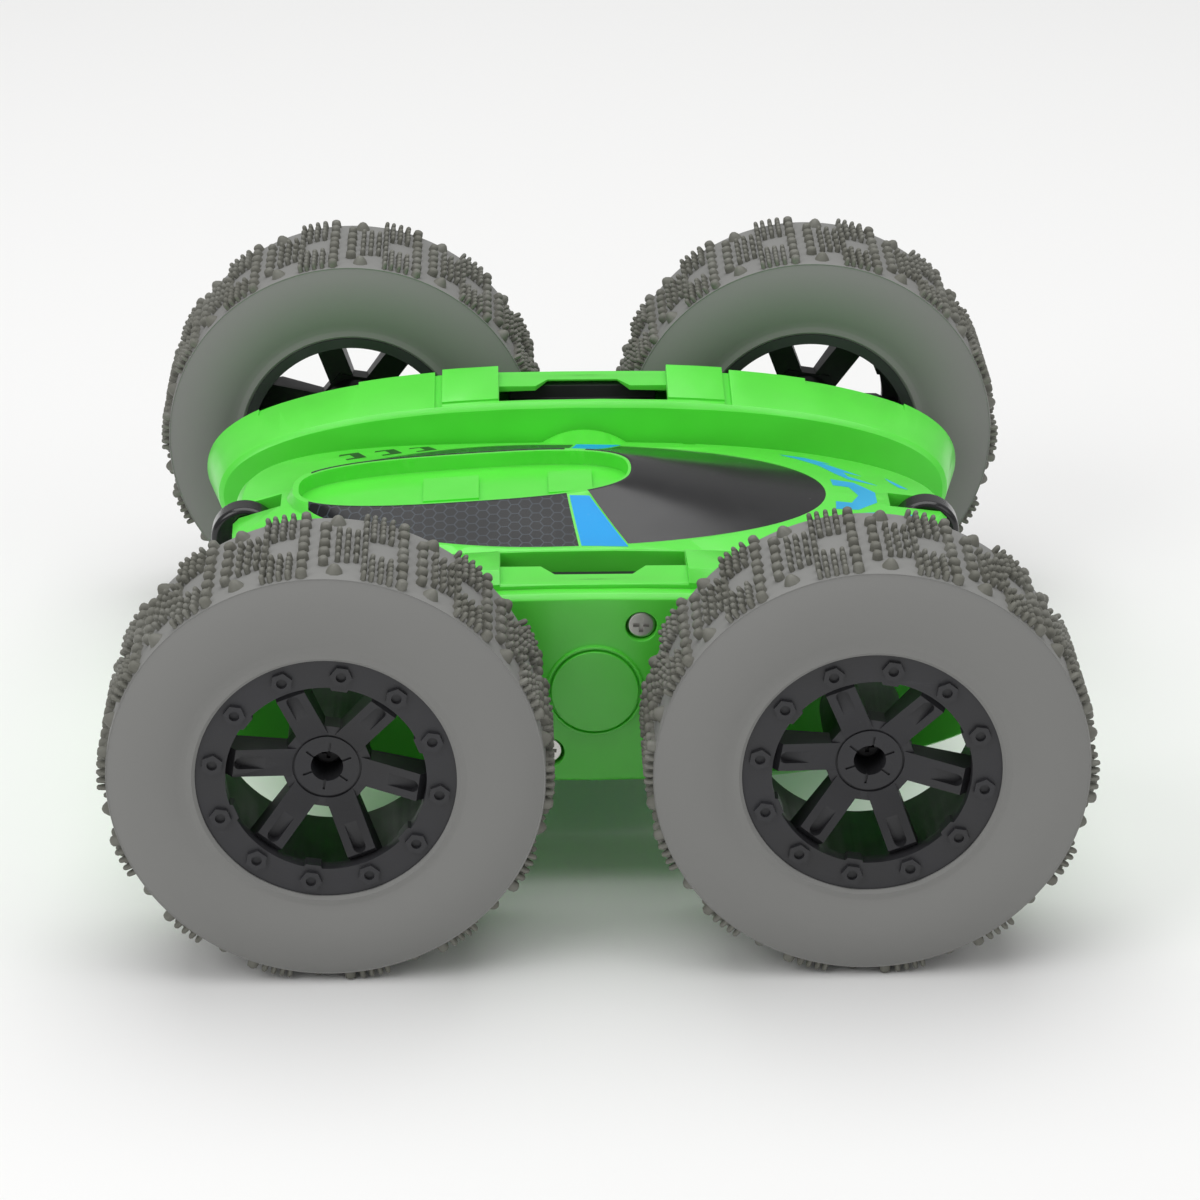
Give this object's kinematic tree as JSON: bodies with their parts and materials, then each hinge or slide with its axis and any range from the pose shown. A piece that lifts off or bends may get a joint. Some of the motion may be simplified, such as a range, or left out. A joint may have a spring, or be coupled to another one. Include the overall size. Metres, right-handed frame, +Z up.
{
  "type": "rc stunt car",
  "caption": "Double-sided remote-control stunt car: a slim body slung between two geared arms that swing right round, each driving its pair of wheels.",
  "frame": {"origin": "on the ground under the centre of the car", "axes": "+X towards the front (windscreen end), +Y to the car's left, +Z up"},
  "size_m": [0.1536, 0.1674, 0.07],
  "materials": {
    "tyre_rubber": "matte",
    "wheel_plastic": "matte",
    "steel": "satin",
    "screw_steel": "bright",
    "dark_screw": "black oxide",
    "brass": "satin",
    "gear_nylon": "satin",
    "green_plastic": "semi-gloss",
    "battery_wrap": "semi-gloss shrink wrap",
    "circuit_board": "solder mask",
    "black_plastic": "matte",
    "roller_plastic": "gloss",
    "window_black": "gloss",
    "window_honeycomb": "gloss with honeycomb print",
    "motor_can": "satin"
  },
  "bodies": {
    "car_body": {"battery": "battery_wrap", "battery_door": "green_plastic", "body_screws": "screw_steel", "circuit_board": "circuit_board", "lower_left_window": "window_honeycomb", "lower_right_window": "window_honeycomb", "lower_shell": "green_plastic", "lower_windscreen": "window_black", "roller_pins": "steel", "upper_left_window": "window_honeycomb", "upper_right_window": "window_honeycomb", "upper_shell": "green_plastic", "upper_windscreen": "window_black"},
    "power_switch": {"power_switch": "black_plastic"},
    "upper_front_roller": {"upper_front_roller": "roller_plastic"},
    "upper_rear_roller": {"upper_rear_roller": "roller_plastic"},
    "lower_front_roller": {"lower_front_roller": "roller_plastic"},
    "lower_rear_roller": {"lower_rear_roller": "roller_plastic"},
    "left_arm": {"left_arm_housing": "green_plastic", "left_arm_cover": "green_plastic", "left_arm_screws": "screw_steel", "left_gearbox_frame": "black_plastic", "left_motor": "motor_can", "left_gear_pins": "steel"},
    "left_front_wheel": {"left_front_tyre": "tyre_rubber", "left_front_rim": "wheel_plastic", "left_front_wheel_screw": "dark_screw", "left_front_axle": "steel", "left_front_wheel_gear": "gear_nylon"},
    "left_front_idler": {"left_front_idler_gear": "gear_nylon"},
    "left_front_reducer": {"left_front_reducer_gear": "gear_nylon"},
    "left_rear_wheel": {"left_rear_tyre": "tyre_rubber", "left_rear_rim": "wheel_plastic", "left_rear_wheel_screw": "dark_screw", "left_rear_axle": "steel", "left_rear_wheel_gear": "gear_nylon"},
    "left_rear_idler": {"left_rear_idler_gear": "gear_nylon"},
    "left_rear_reducer": {"left_rear_reducer_gear": "gear_nylon"},
    "left_pinion": {"left_motor_pinion": "brass"},
    "right_arm": {"right_arm_housing": "green_plastic", "right_arm_cover": "green_plastic", "right_arm_screws": "screw_steel", "right_gearbox_frame": "black_plastic", "right_motor": "motor_can", "right_gear_pins": "steel"},
    "right_front_wheel": {"right_front_tyre": "tyre_rubber", "right_front_rim": "wheel_plastic", "right_front_wheel_screw": "dark_screw", "right_front_axle": "steel", "right_front_wheel_gear": "gear_nylon"},
    "right_front_idler": {"right_front_idler_gear": "gear_nylon"},
    "right_front_reducer": {"right_front_reducer_gear": "gear_nylon"},
    "right_rear_wheel": {"right_rear_tyre": "tyre_rubber", "right_rear_rim": "wheel_plastic", "right_rear_wheel_screw": "dark_screw", "right_rear_axle": "steel", "right_rear_wheel_gear": "gear_nylon"},
    "right_rear_idler": {"right_rear_idler_gear": "gear_nylon"},
    "right_rear_reducer": {"right_rear_reducer_gear": "gear_nylon"},
    "right_pinion": {"right_motor_pinion": "brass"}
  },
  "joints": [
    {"name": "left_arm_swing", "type": "hinge", "parent": "car_body", "child": "left_arm", "pos_m": [0, 0.027, 0.035], "axis": [0, 1, 0], "continuous": true},
    {"name": "left_front_wheel_spin", "type": "hinge", "parent": "left_arm", "child": "left_front_wheel", "pos_m": [0.0418, 0.07, 0.035], "axis": [0, 1, 0], "continuous": true},
    {"name": "left_front_idler_spin", "type": "hinge", "parent": "left_arm", "child": "left_front_idler", "pos_m": [0.0232, 0.04, 0.035], "axis": [0, 1, 0], "continuous": true},
    {"name": "left_front_reducer_spin", "type": "hinge", "parent": "left_arm", "child": "left_front_reducer", "pos_m": [0.0115, 0.04, 0.035], "axis": [0, 1, 0], "continuous": true},
    {"name": "left_rear_wheel_spin", "type": "hinge", "parent": "left_arm", "child": "left_rear_wheel", "pos_m": [-0.0418, 0.07, 0.035], "axis": [0, 1, 0], "continuous": true},
    {"name": "left_rear_idler_spin", "type": "hinge", "parent": "left_arm", "child": "left_rear_idler", "pos_m": [-0.0232, 0.04, 0.035], "axis": [0, 1, 0], "continuous": true},
    {"name": "left_rear_reducer_spin", "type": "hinge", "parent": "left_arm", "child": "left_rear_reducer", "pos_m": [-0.0115, 0.04, 0.035], "axis": [0, 1, 0], "continuous": true},
    {"name": "left_pinion_spin", "type": "hinge", "parent": "left_arm", "child": "left_pinion", "pos_m": [0, 0.036, 0.035], "axis": [0, 1, 0], "continuous": true},
    {"name": "right_arm_swing", "type": "hinge", "parent": "car_body", "child": "right_arm", "pos_m": [0, -0.027, 0.035], "axis": [0, 1, 0], "continuous": true},
    {"name": "right_front_wheel_spin", "type": "hinge", "parent": "right_arm", "child": "right_front_wheel", "pos_m": [0.0418, -0.07, 0.035], "axis": [0, 1, 0], "continuous": true},
    {"name": "right_front_idler_spin", "type": "hinge", "parent": "right_arm", "child": "right_front_idler", "pos_m": [0.0232, -0.04, 0.035], "axis": [0, 1, 0], "continuous": true},
    {"name": "right_front_reducer_spin", "type": "hinge", "parent": "right_arm", "child": "right_front_reducer", "pos_m": [0.0115, -0.04, 0.035], "axis": [0, 1, 0], "continuous": true},
    {"name": "right_rear_wheel_spin", "type": "hinge", "parent": "right_arm", "child": "right_rear_wheel", "pos_m": [-0.0418, -0.07, 0.035], "axis": [0, 1, 0], "continuous": true},
    {"name": "right_rear_idler_spin", "type": "hinge", "parent": "right_arm", "child": "right_rear_idler", "pos_m": [-0.0232, -0.04, 0.035], "axis": [0, 1, 0], "continuous": true},
    {"name": "right_rear_reducer_spin", "type": "hinge", "parent": "right_arm", "child": "right_rear_reducer", "pos_m": [-0.0115, -0.04, 0.035], "axis": [0, 1, 0], "continuous": true},
    {"name": "right_pinion_spin", "type": "hinge", "parent": "right_arm", "child": "right_pinion", "pos_m": [0, -0.036, 0.035], "axis": [0, 1, 0], "continuous": true},
    {"name": "upper_front_roller_spin", "type": "hinge", "parent": "car_body", "child": "upper_front_roller", "pos_m": [0.0575, 0, 0.0412], "axis": [0, 1, 0], "continuous": true},
    {"name": "upper_rear_roller_spin", "type": "hinge", "parent": "car_body", "child": "upper_rear_roller", "pos_m": [-0.0582, 0, 0.0412], "axis": [0, 1, 0], "continuous": true},
    {"name": "lower_front_roller_spin", "type": "hinge", "parent": "car_body", "child": "lower_front_roller", "pos_m": [0.0575, 0, 0.0288], "axis": [0, 1, 0], "continuous": true},
    {"name": "lower_rear_roller_spin", "type": "hinge", "parent": "car_body", "child": "lower_rear_roller", "pos_m": [-0.0582, 0, 0.0288], "axis": [0, 1, 0], "continuous": true},
    {"name": "power_switch_slide", "type": "slide", "parent": "car_body", "child": "power_switch", "axis": [1, 0, 0], "range_m": [0, 0.003]}
  ],
  "couplings": [
    {"joint": "left_front_idler_spin", "follows": "left_front_wheel_spin", "ratio": -1.2963},
    {"joint": "left_front_reducer_spin", "follows": "left_front_wheel_spin", "ratio": 2.9167},
    {"joint": "left_rear_idler_spin", "follows": "left_front_wheel_spin", "ratio": -1.2963},
    {"joint": "left_rear_reducer_spin", "follows": "left_front_wheel_spin", "ratio": 2.9167},
    {"joint": "left_pinion_spin", "follows": "left_front_wheel_spin", "ratio": -10.5},
    {"joint": "left_rear_wheel_spin", "follows": "left_front_wheel_spin", "ratio": 1},
    {"joint": "right_front_idler_spin", "follows": "right_front_wheel_spin", "ratio": -1.2963},
    {"joint": "right_front_reducer_spin", "follows": "right_front_wheel_spin", "ratio": 2.9167},
    {"joint": "right_rear_idler_spin", "follows": "right_front_wheel_spin", "ratio": -1.2963},
    {"joint": "right_rear_reducer_spin", "follows": "right_front_wheel_spin", "ratio": 2.9167},
    {"joint": "right_pinion_spin", "follows": "right_front_wheel_spin", "ratio": -10.5},
    {"joint": "right_rear_wheel_spin", "follows": "right_front_wheel_spin", "ratio": 1}
  ]
}
